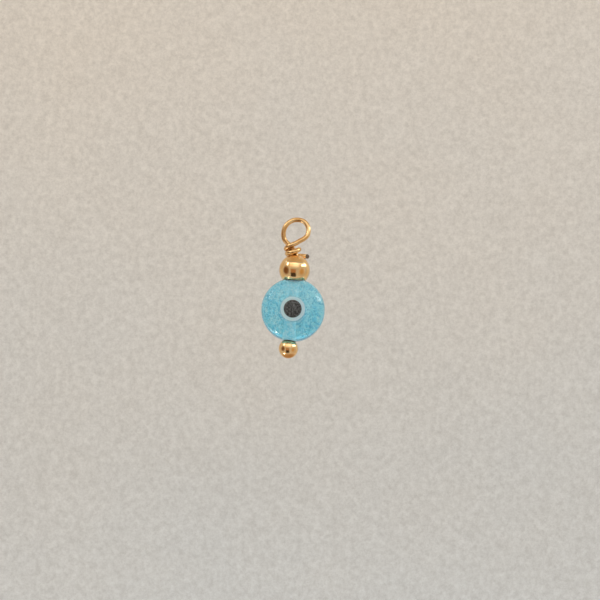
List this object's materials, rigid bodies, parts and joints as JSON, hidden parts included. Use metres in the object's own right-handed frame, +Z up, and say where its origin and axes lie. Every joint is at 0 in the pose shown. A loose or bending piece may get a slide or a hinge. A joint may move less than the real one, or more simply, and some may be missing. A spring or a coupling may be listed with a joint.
{
  "type": "evil eye charm",
  "caption": "Small hanging charm: a flat-round pale blue glass eye bead and a gold bead on a ball-ended head pin with a wrapped wire loop.",
  "frame": {"origin": "on the head pin's axis, level with the centre of the hanging loop's opening", "axes": "+Z up along the pin from the ball end to the loop as the charm hangs, -Y the way the front eye faces, +X to the right seen from the front"},
  "size_m": [0.008, 0.0042, 0.0179],
  "materials": {
    "gold_wire": "polished gold plate",
    "gold_ball": "polished gold plate",
    "gold_bead": "polished gold plate",
    "aqua_glass": "clear lampwork glass with fine bubbles",
    "pale_glass": "milky glass, melted flush",
    "black_glass": "opaque glass, melted flush"
  },
  "bodies": {
    "pin": {"headpin_wire": "gold_wire", "pin_ball": "gold_ball"},
    "spacer": {"gold_bead": "gold_bead"},
    "eye_bead": {"glass_body": "aqua_glass", "iris_front": "pale_glass", "pupil_front": "black_glass", "iris_back": "pale_glass", "pupil_back": "black_glass"}
  },
  "joints": [
    {"name": "spacer_spin", "type": "hinge", "parent": "pin", "child": "spacer", "pos_m": [0, 0, -0.0049], "axis": [0, 0, 1], "continuous": true},
    {"name": "eye_bead_spin", "type": "hinge", "parent": "pin", "child": "eye_bead", "pos_m": [0, 0, -0.01], "axis": [0, 0, 1], "continuous": true}
  ]
}
